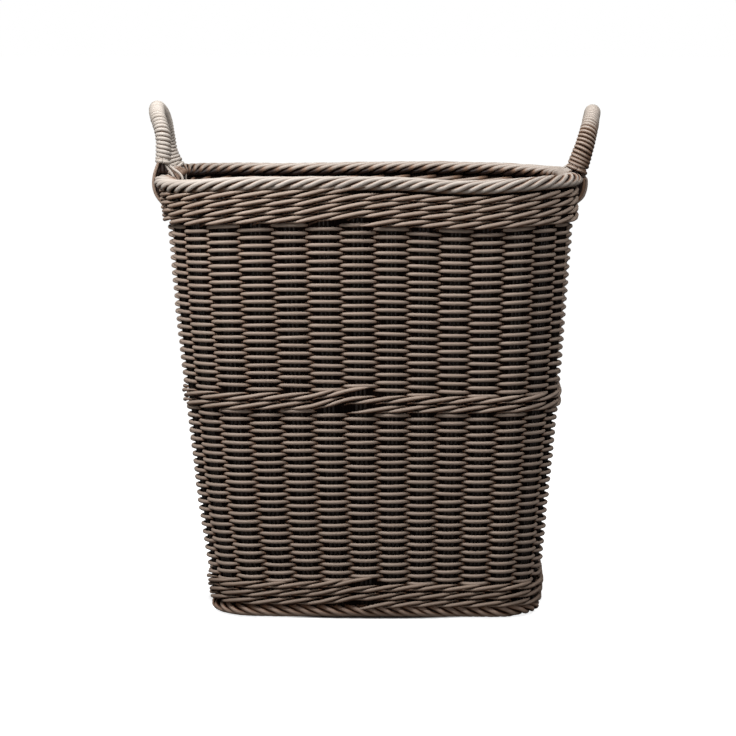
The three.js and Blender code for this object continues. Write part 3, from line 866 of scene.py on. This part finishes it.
@dataclass(frozen=True)
class RolledBorder:
    """A border of canes that each roll round it and end inside.

    Angles are in degrees round the roll, from its outer side upwards. The under strands are slanting canes
    inside the wall, just under the border.
    """

    node: str
    low: float
    high: float
    inner_reach: float
    outer_reach: float
    twist: Twist
    seed: int
    cane_radius: float = 2.55
    strands: int = 76
    start_angle: float = -110.0
    end_angle: float = 245.0
    angle_step: float = 9.0
    slope_angles: tuple[float, ...] = (30, 60, 120, 160)
    outer_slope: float = 0.46
    top_slope: float = 0.4
    inner_slope: float = 0.48
    uneven_place: float = 0.02
    uneven_height: float = 0.15
    uneven_reach: float = 0.3
    tints: Pair = (0.25, 0.75)
    # Painted shade on the sides of each strand that face its neighbours, and at its two ends.
    gap_facing: Pair = (-0.2, 0.82)
    inner_facing: Pair = (0.1, 0.98)
    inner_angles: Pair = (95, 130)
    start_fade: float = 85
    end_fade: Pair = (100, 35)
    core_places: Triple = (-0.45, 0, 0.45)
    core_step: float = 0.25
    core_overlap: float = 0.26
    core_tints: Pair = (0.2, 0.4)
    under_strands: int = 0
    under_length: float = 1.75
    under_drop: float = 1.2
    under_slant: float = 7.0
    under_reach: float = -3.2
    under_bow: float = 4.2
    under_radius: float = 2.1
    under_uneven: float = 0.2
    under_steps: int = 14
    under_tints: Pair = (0.1, 0.6)
    under_painted_shade: float = 0.85
    under_shown: float = 0.6
    under_ends: tuple[Pair, Pair] = ((0, 0.3), (0.7, 1))

    def run(self, reach: np.ndarray, rise: np.ndarray, angle: np.ndarray) -> np.ndarray:
        """How far a cane has gone round the wall at each angle of its roll.

        Args:
            reach: Its distance from the middle of the stakes.
            rise: Its height above the middle of the roll.
            angle: The angles.

        Returns:
            The length, in stakes.
        """
        angles = [self.start_angle, *self.slope_angles, self.end_angle]
        slopes = [self.outer_slope] * 2 + [self.top_slope] * 2 + [self.inner_slope] * 2
        slope = np.interp(angle, angles, slopes)
        moved = np.hypot(np.diff(reach), np.diff(rise))
        run = np.concatenate([[0], np.cumsum(moved / ((slope[1:] + slope[:-1]) / 2))])
        return run / WALL.pitch((self.high + self.low) / 2)

    def painted_shade_at(self, made: CaneMesh, angle: np.ndarray) -> np.ndarray:
        """The shade painted on a cane at each angle of its roll, darker where it lies between its
        neighbours.

        Args:
            made: The mesh that the cane goes into.
            angle: The angles.

        Returns:
            From 0 to 1, with a row to each angle and a column to each side.
        """
        start = (self.start_angle, self.start_angle + self.start_fade)
        end = (self.end_angle - self.end_fade[0], self.end_angle - self.end_fade[1])
        outer = 1 - smooth_step(*self.gap_facing, made.facing())
        inner = 1 - smooth_step(*self.inner_facing, made.facing())
        inside = smooth_step(*self.inner_angles, angle)[:, None]
        return np.maximum((1 - hump(start, end, angle))[:, None], outer * (1 - inside) + inner * inside)

    def build(self, finishes: Finishes) -> None:
        """Makes the border as one piece that stands for its solid.

        Args:
            finishes: The finishes of the basket's canes.
        """
        draw = np.random.default_rng(self.seed)
        made = CaneMesh()
        half_reach = (self.outer_reach + self.inner_reach) / 2 - self.cane_radius
        middle_reach = (self.outer_reach - self.inner_reach) / 2
        half_height = (self.high - self.low) / 2 - self.cane_radius
        middle_z = (self.high + self.low) / 2
        count = int((self.end_angle - self.start_angle) / self.angle_step) + 1
        angle = np.linspace(self.start_angle, self.end_angle, count)
        reach = middle_reach + half_reach * np.cos(np.radians(angle))
        rise = half_height * np.sin(np.radians(angle))
        run = self.run(reach, rise, angle)
        painted_shade = self.painted_shade_at(made, angle)
        for strand in range(self.strands):
            u = strand * WALL.stakes / self.strands + run + draw.normal(0, self.uneven_place)
            z = middle_z + self.twist.value * rise + draw.normal(0, self.uneven_height)
            grown = reach + draw.normal(0, self.uneven_reach)
            points, normals = WALL.points(u, z, grown)
            centre, _ = WALL.points(u, middle_z, middle_reach)
            away = points - centre + normals * METRES
            made.add(points, away, self.cane_radius, draw.uniform(*self.tints), painted_shade)
        # Core canes inside the roll, black: painted shade.
        u = np.arange(0, WALL.stakes + self.core_overlap, self.core_step)
        for place in self.core_places:
            points, normals = WALL.points(u, middle_z, middle_reach + place * half_reach)
            made.add(points, normals, self.cane_radius, draw.uniform(*self.core_tints), 1.0)
        for strand in range(self.under_strands):
            self.under_strand(made, strand, draw)
        finish = finishes.foot if self.twist is Twist.FALLING else finishes.border
        finish_piece(made.build(f"{self.node}_canes", finish), "border_cane", self.node)

    def under_strand(self, made: CaneMesh, strand: int, draw: np.random.Generator) -> None:
        """Adds one of the canes that run slanting inside the wall, just under the border.

        Args:
            made: The mesh that the canes go into.
            strand: Its number round the wall.
            draw: The seeded source of random numbers.
        """
        part = np.linspace(0, 1, self.under_steps)
        u = (strand + self.under_length * part) * WALL.stakes / self.under_strands
        z = self.low - self.under_drop - self.under_slant * part + draw.normal(0, self.under_uneven)
        reach = self.under_reach - self.under_bow * np.sin(math.pi * part)
        points, normals = WALL.points(u, z, reach)
        # Painted shade: dark all along, a little lighter in the middle.
        painted_shade = self.under_painted_shade - self.under_shown * hump(*self.under_ends, part)
        made.add(points, normals, self.under_radius, draw.uniform(*self.under_tints), painted_shade[:, None])


@dataclass(frozen=True)
class Stakes:
    """The upright bundles that the weave passes, and the black canes of painted shade that fill the wall
    between them.

    The filling starts and ends higher than the bundles by filling_ends.
    """

    low: float = 11.0
    high: float = 441.0
    canes: int = 3
    cane_pitch: float = 4.1
    cane_radius: float = 2.1
    uneven_reach: float = 0.2
    tints: Pair = (0.2, 0.8)
    # Painted shade on the stake canes, which lie behind the weave.
    painted_shade: float = 0.15
    filling_canes: int = 6
    filling_reach: float = -0.4
    filling_radius: float = 0.64
    filling_ends: Pair = (8.0, 1.0)
    filling_tint: float = 0.5
    steps: int = 30
    seed: int = 5

    def build(self, finishes: Finishes) -> None:
        """Makes each bundle as a piece of its own, and the filling as one more.

        Args:
            finishes: The finishes of the basket's canes.
        """
        draw = np.random.default_rng(self.seed)
        z = np.linspace(self.low, self.high, self.steps)
        for stake in range(WALL.stakes):
            made = CaneMesh()
            for cane in range(self.canes):
                offset = (cane - (self.canes - 1) / 2) * self.cane_pitch
                u = stake + 0.5 + offset / WALL.pitch(z)
                points, normals = WALL.points(u, z, draw.normal(0, self.uneven_reach))
                made.add(points, normals, self.cane_radius, draw.uniform(*self.tints), self.painted_shade)
            node = f"stake_{stake + 1:02d}"
            finish_piece(made.build(f"{node}_canes", finishes.stake), "stake_cane", node)
        painted_shade_filling = self.painted_shade_filling().build("wall_painted_shade_filling", finishes.shade)
        finish_piece(painted_shade_filling, "wall_cane", "lower_weave", "upper_weave")

    def painted_shade_filling(self) -> CaneMesh:
        """Makes the black canes of painted shade that fill the wall between the stakes.

        Returns:
            The canes.
        """
        made = CaneMesh(sides=HIDDEN_CANE_SIDES)
        z = np.linspace(self.low + self.filling_ends[0], self.high + self.filling_ends[1], self.steps)
        pitch = WALL.pitch(z)
        edge = self.canes * self.cane_pitch / 2
        share = (pitch - 2 * edge) / self.filling_canes
        for stake in range(WALL.stakes):
            for cane in range(self.filling_canes):
                u = stake + 0.5 + (edge + (cane + 0.5) * share) / pitch
                points, normals = WALL.points(u, z, self.filling_reach)
                made.add(points, normals, self.filling_radius * share, self.filling_tint)
        return made


@dataclass(frozen=True)
class Bottom:
    """The woven bottom: bundles along the basket and weavers across it."""

    middle_z: float = 18.65
    sticks: int = 7
    canes: int = 3
    cane_pitch: float = 4.1
    cane_radius: float = 2.0
    row_pitch: float = 4.1
    inset: float = 6.0
    end_gap: float = 1.0
    weave_reach: float = 4.3
    crossing: Pair = (0.05, 0.8)
    uneven: float = 0.15
    tints: Pair = (0.3, 0.7)
    steps: int = 7
    stick_tints: Pair = (0.2, 0.8)
    stick_painted_shade: float = 0.1
    stick_steps: int = 12
    seed: int = 6

    def half(self, across: float, long: bool) -> float:
        """Half the length of the bottom along or across the basket.

        Args:
            across: The distance from the bottom's middle, the other way.
            long: Whether the length along the basket is asked for.

        Returns:
            The length from the middle to the edge.
        """
        half_width, half_depth, corner = WALL.shape_at(self.middle_z)
        ahead, beside = (half_width, half_depth) if long else (half_depth, half_width)
        into = min(max(abs(across) - (beside - corner), 0), corner - self.inset)
        return ahead - corner + math.sqrt((corner - self.inset) ** 2 - into**2)

    def stick_y(self, index: int) -> float:
        """The place of one bundle across the bottom."""
        half = WALL.shape_at(self.middle_z)[1] - self.inset
        return ((index + 0.5) / self.sticks - 0.5) * 2 * half

    def build(self, finishes: Finishes) -> None:
        """Makes the weavers as one piece and each bundle as another.

        Args:
            finishes: The finishes of the basket's canes.
        """
        draw = np.random.default_rng(self.seed)
        up = np.array([0, 0, 1.0])
        spacing = self.stick_y(1) - self.stick_y(0)
        rows = int(2 * (WALL.shape_at(self.middle_z)[0] - self.inset) / self.row_pitch)
        made = CaneMesh(sides=HIDDEN_CANE_SIDES)
        for row in range(rows):
            x = (row - (rows - 1) / 2) * self.row_pitch
            reach = self.half(x, long=False) - self.end_gap
            y = np.linspace(-reach, reach, max(int(2 * reach / spacing * self.steps), 4))
            swing = np.cos(math.pi * (y - self.stick_y(0)) / spacing) * (1 - 2 * (row % 2))
            z = self.middle_z + self.weave_reach * swing
            points = np.stack([np.full(len(y), x) + draw.normal(0, self.uneven), y, z], -1)
            # Painted shade where the weavers dip between the bundles.
            painted_shade = 1 - smooth_step(*self.crossing, np.abs(swing))
            made.add(points, up, self.cane_radius, draw.uniform(*self.tints), painted_shade[:, None])
        finish_piece(made.build("base_weave_canes", finishes.bottom), "base_cane", "base_weave")
        for index in range(self.sticks):
            made = CaneMesh(sides=HIDDEN_CANE_SIDES)
            for cane in range(self.canes):
                y = self.stick_y(index) + (cane - (self.canes - 1) / 2) * self.cane_pitch
                x = np.linspace(-1, 1, self.stick_steps) * (self.half(y, long=True) - self.end_gap)
                points = np.stack([x, np.full(len(x), y), np.full(len(x), self.middle_z)], -1)
                made.add(points, up, self.cane_radius, draw.uniform(*self.stick_tints), self.stick_painted_shade)
            node = f"base_stick_{index + 1}"
            finish_piece(made.build(f"{node}_canes", finishes.stake), "base_cane", node)


@dataclass(frozen=True)
class Bend:
    """A place on a handle's middle line: along the rim, above it and outwards, and the winding's radius."""

    along: float
    up: float
    out: float
    radius: float


@dataclass(frozen=True)
class Handle:
    """A looped handle: a bundle of canes wound with canes side by side, each as its maker bent it.

    The winding stops short of the middle line's ends by winding_ends. The tails go down outside the rim,
    each with its own painted shade, and inside it, at inner_reaches from the rim's middle for either foot.
    """

    side: Side
    bends: tuple[Bend, ...]
    winding_ends: Pair
    front_foot: int
    tail_reach: float
    tail_painted_shades: tuple[float, ...]
    inner_reaches: tuple[tuple[float, ...], tuple[float, ...]]
    gap_painted_shade: float
    gap_width: float = 0.1
    one_side_darkening: float = 0.0
    winding_canes: int = 2
    cane_radius: float = 2.1
    cane_pitch: float = 4.2
    winding_steps: int = 24
    seed: int = 7
    line_steps: int = 14
    close_pitches: float = 0.9
    tuck_turns: float = 0.3
    tuck_depth: float = 3.4
    end_tilt: float = 0.7
    uneven: float = 0.12
    tints: Pair = (0.45, 0.75)
    one_side_darkening_facing: Pair = (0.0, 0.9)
    one_side_darkening_heights: Pair = (18, 34)
    gap_spread: float = 0.6
    gap_heights: Pair = (36, 54)
    gap_fade: float = 0.8
    core_canes: int = 5
    core_radius: float = 3.6
    core_steps: int = 90
    core_inset: float = 0.5
    core_fade: float = 4.0
    core_tints: Pair = (0.3, 0.7)
    core_painted_shade: float = 0.6
    tail_edge: float = 3.8
    tail_aside: float = 3.6
    tail_pitch: float = 2.6
    tail_spacing: float = 2.9
    tail_steps: int = 6
    tail_tints: Pair = (0.4, 0.8)
    tail_radius: float = 1.65
    inner_radius: float = 1.35
    inner_offset: float = 1.5
    inner_tints: Pair = (0.6, 1.0)
    inner_painted_shade: float = 0.4

    def middle_line(self) -> tuple[np.ndarray, np.ndarray]:
        """The handle's middle line, as for the right end of the basket.

        Returns:
            The length along the line at each sample, and the samples with their radius in a fourth column.
        """
        foot = WALL.rim_half_width
        knots = np.array([[foot + b.out, b.along, WALL.top_z + b.up, b.radius] for b in self.bends])
        line = smooth_route(knots, self.line_steps)
        steps = np.linalg.norm(np.diff(line[:, :3], axis=0), axis=1)
        return np.concatenate([[0], np.cumsum(steps)]), line

    def points(
        self, length: np.ndarray, angle: np.ndarray, radius: np.ndarray, share: float = 0.0
    ) -> tuple[np.ndarray, np.ndarray]:
        """Points round the handle's middle line, in the frame of the basket.

        Args:
            length: Length along the middle line.
            angle: Angle round it, from its upper side.
            radius: Distance from it, besides the share of the winding's own radius.
            share: How much of the winding's radius counts.

        Returns:
            The points, and the direction away from the middle line at each.
        """
        lengths, line = self.middle_line()
        length, angle, radius = np.broadcast_arrays(length, angle, radius)
        columns = [np.interp(length, lengths, line[:, column]) for column in range(4)]
        direction = np.gradient(line[:, :3], lengths, axis=0)
        ahead = np.stack([np.interp(length, lengths, direction[:, column]) for column in range(3)], -1)
        ahead /= np.linalg.norm(ahead, axis=-1, keepdims=True)
        outward = np.array([1.0, 0, 0]) - ahead[..., :1] * ahead
        outward /= np.linalg.norm(outward, axis=-1, keepdims=True)
        above = np.cross(outward, ahead)
        away = outward * np.sin(angle)[..., None] + above * np.cos(angle)[..., None]
        distance = radius + share * columns[3]
        return self.turned(np.stack(columns[:3], -1) + away * distance[..., None]), self.turned(away)

    def turned(self, points: np.ndarray) -> np.ndarray:
        """Turns points to the handle's end of the basket."""
        cos = math.cos(self.side.value)
        return points * [cos, cos, 1]

    def winding(self, finishes: Finishes) -> None:
        """Makes the canes that are wound side by side, and a last close turn at each end.

        Args:
            finishes: The finishes of the basket's canes.
        """
        draw = np.random.default_rng(self.seed)
        start = self.winding_ends[0]
        end = float(self.middle_line()[0][-1]) - self.winding_ends[1]
        lead = self.winding_canes * self.cane_pitch
        first = start + self.close_pitches * self.cane_pitch
        turns = (end - self.close_pitches * self.cane_pitch - first) / lead
        made = CaneMesh()
        for cane in range(self.winding_canes):
            ahead = cane / self.winding_canes
            stretch = (-ahead - self.tuck_turns, turns - ahead + self.tuck_turns)
            turn = np.arange(*stretch, 1 / self.winding_steps)
            along = turn + ahead
            tucked = 1 - hump((-self.tuck_turns, 0), (turns, turns + self.tuck_turns), along)
            length = first + np.clip(along, 0, turns) * lead
            self.wound(made, length, turn, draw, self.tuck_depth * tucked)
        turn = np.arange(0, 1 + 1e-6, 1 / self.winding_steps)
        tilt = self.end_tilt * lead / TURN * np.sin(TURN * turn)
        for inset in (0.0, 0.5 * self.cane_pitch):
            self.wound(made, start + inset + tilt, turn, draw, self.end_tilt * inset)
            self.wound(made, end - inset + tilt, turn, draw, self.end_tilt * inset)
        name = self.side.name.lower()
        piece = made.build(f"{name}_handle_winding_canes", finishes.handle)
        finish_piece(piece, "handle_cane", f"{name}_handle_winding")

    def wound(
        self,
        made: CaneMesh,
        length: np.ndarray,
        turn: np.ndarray,
        draw: np.random.Generator,
        sunk: float | np.ndarray,
    ) -> None:
        """Adds a cane of the winding.

        Args:
            made: The mesh that the cane goes into.
            length: Its place along the middle line at each point.
            turn: The turns made so far at each point.
            draw: The seeded source of random numbers.
            sunk: How far the cane lies below its neighbours, alike all over or at each point.
        """
        radius = wobble(draw, turn, self.uneven) - self.cane_radius - sunk
        points, away = self.points(length, -TURN * turn, radius, 1.0)
        above = points[:, 2] - WALL.top_z
        # Painted shade in the grooves between the wound canes, fading higher up.
        gap_facing = (self.gap_width, self.gap_width + self.gap_spread)
        gap_shade = self.gap_painted_shade * (1 - smooth_step(*gap_facing, made.facing()))
        gap_shade = gap_shade * (1 - self.gap_fade * smooth_step(*self.gap_heights, above))[:, None]
        # One side of the winding is darker and browner low down, through the same value as the painted
        # shade.
        one_side_darkening = self.one_side_darkening * smooth_step(*self.one_side_darkening_facing, -np.sin(TURN * turn))
        one_side_darkening *= 1 - smooth_step(*self.one_side_darkening_heights, above)
        painted_shade = np.maximum(gap_shade, one_side_darkening[:, None])
        made.add(points, away, self.cane_radius, draw.uniform(*self.tints), painted_shade)

    def tail(
        self, made: CaneMesh, along: float, route: list[Triple], tint: float, painted_shade: float, radius: float
    ) -> None:
        """Adds a cane that leaves the winding and is worked into the rim.

        Args:
            made: The mesh that the cane goes into.
            along: The place of the handle's foot along the rim.
            route: Points as distance outwards of the rim's middle, sideways offset and height above the rim.
            tint: The cane's shade.
            painted_shade: How much shade is painted on it where it lies between other canes, from 0 to 1.
            radius: The cane's radius.
        """
        knots = np.array(route) + [WALL.rim_half_width, along, WALL.top_z]
        line = self.turned(smooth_route(knots, self.tail_steps))
        made.add(line, self.turned(np.array([0, 1.0, 0])), radius, tint, painted_shade)

    def core(self, finishes: Finishes) -> None:
        """Makes the canes inside the winding and the tails that hold the handle.

        Args:
            finishes: The finishes of the basket's canes.
        """
        draw = np.random.default_rng(self.seed + 1)
        total = float(self.middle_line()[0][-1])
        start = self.winding_ends[0]
        end = total - self.winding_ends[1]
        made = CaneMesh()
        length = np.linspace(self.core_inset, total - self.core_inset, self.core_steps)
        # Painted shade on the core canes, black where they show bare beyond the winding.
        bare = 1 - hump((start, start + self.core_fade), (end - self.core_fade, end), length)
        painted_shade = self.core_painted_shade + (1 - self.core_painted_shade) * bare[:, None]
        for cane in range(self.core_canes):
            points, away = self.points(length, TURN * cane / self.core_canes, self.core_radius)
            made.add(points, away, self.cane_radius, draw.uniform(*self.core_tints), painted_shade)
        for foot in (-1, 1):
            self.tails(made, foot, draw)
        name = self.side.name.lower()
        piece = made.build(f"{name}_handle_core_canes", finishes.border)
        finish_piece(piece, "handle_cane", f"{name}_handle_core")

    def tails(self, made: CaneMesh, foot: int, draw: np.random.Generator) -> None:
        """Adds the canes that run from one foot of the handle into the rim, outside and inside.

        Args:
            made: The mesh that the canes go into.
            foot: -1 for the foot where the middle line starts and 1 for the other.
            draw: The seeded source of random numbers.
        """
        index = 0 if foot < 0 else 1
        start = self.bends[-index]
        lean = WALL.shifts[-1] * math.cos(self.side.value)
        low = start.up + self.winding_ends[index] - self.cane_radius
        edge = start.out + start.radius - self.tail_edge
        for number, painted_shade in enumerate(self.tail_painted_shades):
            offset = self.front_foot * foot * (self.tail_aside - self.tail_pitch * number)
            reach = self.tail_reach + lean - self.tail_spacing * number
            route = [
                (edge - 3.0 - 1.4 * number, 0.6 * offset, low + 7),
                (edge - 1.6 * number, 0.8 * offset, low),
                (reach - 1.5, offset, min(low - 7, -1.0)),
                (reach - 0.2, offset, -8.0),
                (reach, offset, -14.0),
                (reach - 1.4, offset, -21.0),
                (reach - 4.8, 0.9 * offset, -27.5),
                (lean + 6.0, 0.8 * offset, -35.0),
            ]
            self.tail(made, start.along, route, draw.uniform(*self.tail_tints), painted_shade, self.tail_radius)
        for number, inner in enumerate(self.inner_reaches[index]):
            offset = self.inner_offset * (-1) ** number
            top = (start.out - 1.5 - 1.2 * number, 0.7 * offset, low + 1.0)
            rim = (inner, offset, -4.0)
            route = [
                (start.out, 0.4 * offset, low + 7),
                top,
                tuple((a + b) / 2 for a, b in zip(top, rim)),
                rim,
                (inner - 2.0, offset, -12.0),
                (inner - 0.5, offset, -26.0),
            ]
            # Every other inner tail has painted shade.
            painted_shade = self.inner_painted_shade * (number % 2)
            self.tail(made, start.along, route, draw.uniform(*self.inner_tints), painted_shade, self.inner_radius)

    def build(self, finishes: Finishes) -> None:
        """Makes the handle's two pieces."""
        self.core(finishes)
        self.winding(finishes)


@dataclass(frozen=True)
class Lamp:
    """A square soft lamp: its place, the point it faces, its side and its power in watts."""

    name: str
    place: Triple
    aim: Triple
    size: float
    power: float

    def build(self) -> None:
        """Adds the lamp."""
        data = bpy.data.lights.new(self.name, "AREA")
        data.size = self.size
        data.energy = self.power
        lamp = bpy.data.objects.new(self.name, data)
        lamp.location = self.place
        lamp.rotation_euler = (Vector(self.aim) - Vector(self.place)).to_track_quat("-Z", "Y").to_euler()
        bpy.context.scene.collection.objects.link(lamp)


@dataclass(frozen=True)
class Studio:
    """The camera at the photograph's viewpoint, a white floor and soft lights, in metres.

    The floor's glow starts at the basket's foot, an oval of foot_size, and rises over the near and then the
    far distances, which are in such ovals. Its fade just round the foot is a painted shadow.
    """

    camera_place: Triple = (0.069, -3.5542, 0.636)
    camera_yaw: float = -0.021
    camera_pitch: float = 0.110
    lens: float = 166.45
    sensor: float = 36.0
    far_clip: float = 100.0
    floor_size: float = 60.0
    floor_z: float = -0.0004
    floor_pale: float = 0.75
    floor_grey: float = 0.16
    foot_size: Triple = (0.165, 0.125, 1)
    near_glow: Triple = (1.0, 1.1, 0.86)
    far_glow: Triple = (1.5, 5.0, 0.14)
    soft_light: float = 0.04
    lamps: tuple[Lamp, ...] = (
        Lamp("key", (-0.55, -0.55, 1.0), (0, 0, 0.35), 0.4, 10.2),
        Lamp("front", (-0.1, -1.5, 0.3), (0, 0, 0.2), 0.8, 3.2),
        Lamp("top", (0.05, -0.05, 1.5), (0, 0, 0.4), 0.8, 12),
        Lamp("side", (0.8, -0.5, 1.3), (0, 0, 0.45), 0.6, 7.2),
    )

    def camera(self) -> None:
        """Makes the camera and looks through it."""
        data = bpy.data.cameras.new("camera")
        data.lens = self.lens
        data.sensor_width = self.sensor
        data.sensor_fit = "HORIZONTAL"
        data.clip_end = self.far_clip
        camera = bpy.data.objects.new("camera", data)
        camera.location = self.camera_place
        level = math.cos(self.camera_pitch)
        ahead = (math.sin(self.camera_yaw) * level, math.cos(self.camera_yaw) * level)
        forward = Vector((*ahead, -math.sin(self.camera_pitch)))
        camera.rotation_euler = forward.to_track_quat("-Z", "Y").to_euler()
        bpy.context.scene.collection.objects.link(camera)
        bpy.context.scene.camera = camera

    def floor(self) -> None:
        """Makes the floor, which shows white, keeps the basket's shadow and has a painted shadow round its
        foot.
        """
        bpy.ops.object.select_all(action="DESELECT")
        bpy.ops.mesh.primitive_plane_add(size=self.floor_size, location=(0, 0, self.floor_z))
        floor = bpy.context.object
        floor.name = "floor"
        bpy.ops.object.transform_apply(location=True, rotation=True, scale=True)
        material = bpy.data.materials.new("white floor")
        tree = NodeTree(material)
        tree.nodes.clear()
        place = tree.add("TexCoord").outputs["Object"]
        ovals = tree.add("VectorMath", {0: place, 1: self.foot_size}, operation="DIVIDE").outputs[0]
        distance = tree.add("VectorMath", {0: ovals}, operation="LENGTH").outputs["Value"]
        glows = []
        # The glow is off under the basket and fades in just round its foot: a painted shadow there.
        for low, high, strength in (self.near_glow, self.far_glow):
            reached = {"Value": distance, "From Min": low, "From Max": high, "To Max": strength}
            glows.append(tree.add("MapRange", reached).outputs[0])
        glow = tree.add("Emission", {"Strength": tree.sum("ADD", *glows)}).outputs[0]
        pale, grey = (
            tree.add("BsdfDiffuse", {"Color": (shade, shade, shade, 1)}).outputs[0]
            for shade in (self.floor_pale, self.floor_grey)
        )
        lit = tree.add("AddShader", {0: glow, 1: pale}).outputs[0]
        tree.add("OutputMaterial", {"Surface": tree.camera_or(grey, lit)})
        floor.data.materials.append(material)

    def world(self) -> None:
        """Makes the world: white to the camera and a plain soft light to the basket."""
        world = bpy.data.worlds.new("studio")
        bpy.context.scene.world = world
        tree = NodeTree(world)
        tree.nodes.clear()
        soft, white = (
            tree.add("Background", {"Color": (1, 1, 1, 1), "Strength": strength}).outputs[0]
            for strength in (self.soft_light, 1.0)
        )
        tree.add("OutputWorld", {"Surface": tree.camera_or(soft, white)})

    def build(self) -> None:
        """Sets up the camera, the floor, the world and the lamps."""
        self.camera()
        self.floor()
        self.world()
        for lamp in self.lamps:
            lamp.build()
        bpy.context.scene.view_settings.view_transform = "Standard"


LOWER_WEAVE = FineBand(
    "lower_weave", low=36.6, high=218.8, rows=44, seed=11, sags=(0.5, -0.3), back_sag=2.6,
    thicker=(0.3, 0.3), tilts=(0.0, 1.0), before_end=1.1,
)
UPPER_WEAVE = FineBand(
    "upper_weave", low=232.8, high=408.2, rows=42, seed=12, sags=(-0.4, -0.3), back_sag=1.7,
    thicker=(0.3, 0.4), tilts=(3.5, 0.0), before_end=-0.1,
)
LOWER_WALE = TwistedBand(
    "lower_wale", first_z=10.2, rows=3, pitch=8.6, rise=5.8, outer_reach=8.2, seed=13, at_foot=True,
    seam=-0.78, packed_rows=(-0.2, 3.4),
)
MIDDLE_WALE = TwistedBand(
    "middle_wale", first_z=213.8, rows=2, pitch=9.6, rise=6.6, outer_reach=7.0, seed=14, seam=-0.71,
    before_seam=0.6, after_seam=0.05, packed_rows=(-0.9, 3.0),
)
UPPER_WALE = TwistedBand(
    "upper_wale", first_z=404.0, rows=4, pitch=8.6, rise=6.4, outer_reach=10.2, seed=15, passes=45,
    seam=-0.42, seam_stretch=0.36, before_seam=0.65, after_seam=0.0, cane_radius=2.15,
    packed_rows=(-0.9, 4.3),
)
FOOT_BORDER = RolledBorder(
    "foot_border", low=0.4, high=13.4, inner_reach=12.0, outer_reach=9.0, twist=Twist.FALLING, seed=16,
    outer_slope=0.55, gap_facing=(0.1, 0.92),
)
TOP_BORDER = RolledBorder(
    "top_border", low=438.8, high=453.3, inner_reach=10.0, outer_reach=14.0, twist=Twist.RISING, seed=17,
    strands=88, under_strands=45,
)
LEFT_HANDLE = Handle(
    Side.LEFT,
    bends=(
        Bend(-64, -3, 6.0, 8.6),
        Bend(-62.5, 13.5, 13.5, 8.3),
        Bend(-57, 32, 16.3, 8.2),
        Bend(-36, 52.5, 19.0, 8.2),
        Bend(0, 62.2, 22.2, 8.3),
        Bend(36, 56, 19.3, 8.3),
        Bend(52, 44, 14.2, 8.3),
        Bend(59, 30, 11.4, 8.3),
        Bend(64, -3, 11.8, 8.6),
    ),
    winding_ends=(1.5, 12.5), front_foot=1, tail_reach=17.1, tail_painted_shades=(0.35, 1.0, 1.0, 1.0),
    inner_reaches=((0.0,), (1.5, -2.5, -7.0)), gap_painted_shade=0.3,
)
RIGHT_HANDLE = Handle(
    Side.RIGHT,
    bends=(
        Bend(-64, -4, 4.4, 11.7),
        Bend(-62.5, 10, 9.0, 11.3),
        Bend(-60, 25, 14.0, 10.4),
        Bend(-50, 42, 19.0, 9.4),
        Bend(-27, 55, 23.2, 8.3),
        Bend(0, 58.5, 25.0, 8.3),
        Bend(27, 55, 25.0, 8.3),
        Bend(50, 42, 23.5, 8.6),
        Bend(60, 25, 19.5, 8.8),
        Bend(64, -4, 9.0, 9.2),
    ),
    winding_ends=(6.5, 10.0), front_foot=-1, tail_reach=20.3, tail_painted_shades=(0.3, 0.5, 1.0, 1.0),
    inner_reaches=((-3.0, -6.0), (-3.0,)), gap_painted_shade=1.0, gap_width=0.5, one_side_darkening=0.45,
)


def main() -> None:
    """Builds the studio and then the basket from the stakes outwards."""
    logging.basicConfig(level=logging.INFO, format="%(name)s: %(message)s")
    Studio().build()
    finishes = Finishes()
    bands = (LOWER_WEAVE, UPPER_WEAVE, LOWER_WALE, MIDDLE_WALE, UPPER_WALE)
    for part in (Stakes(), Bottom(), *bands, FOOT_BORDER, TOP_BORDER, LEFT_HANDLE, RIGHT_HANDLE):
        part.build(finishes)


if __name__ == "__main__":
    main()
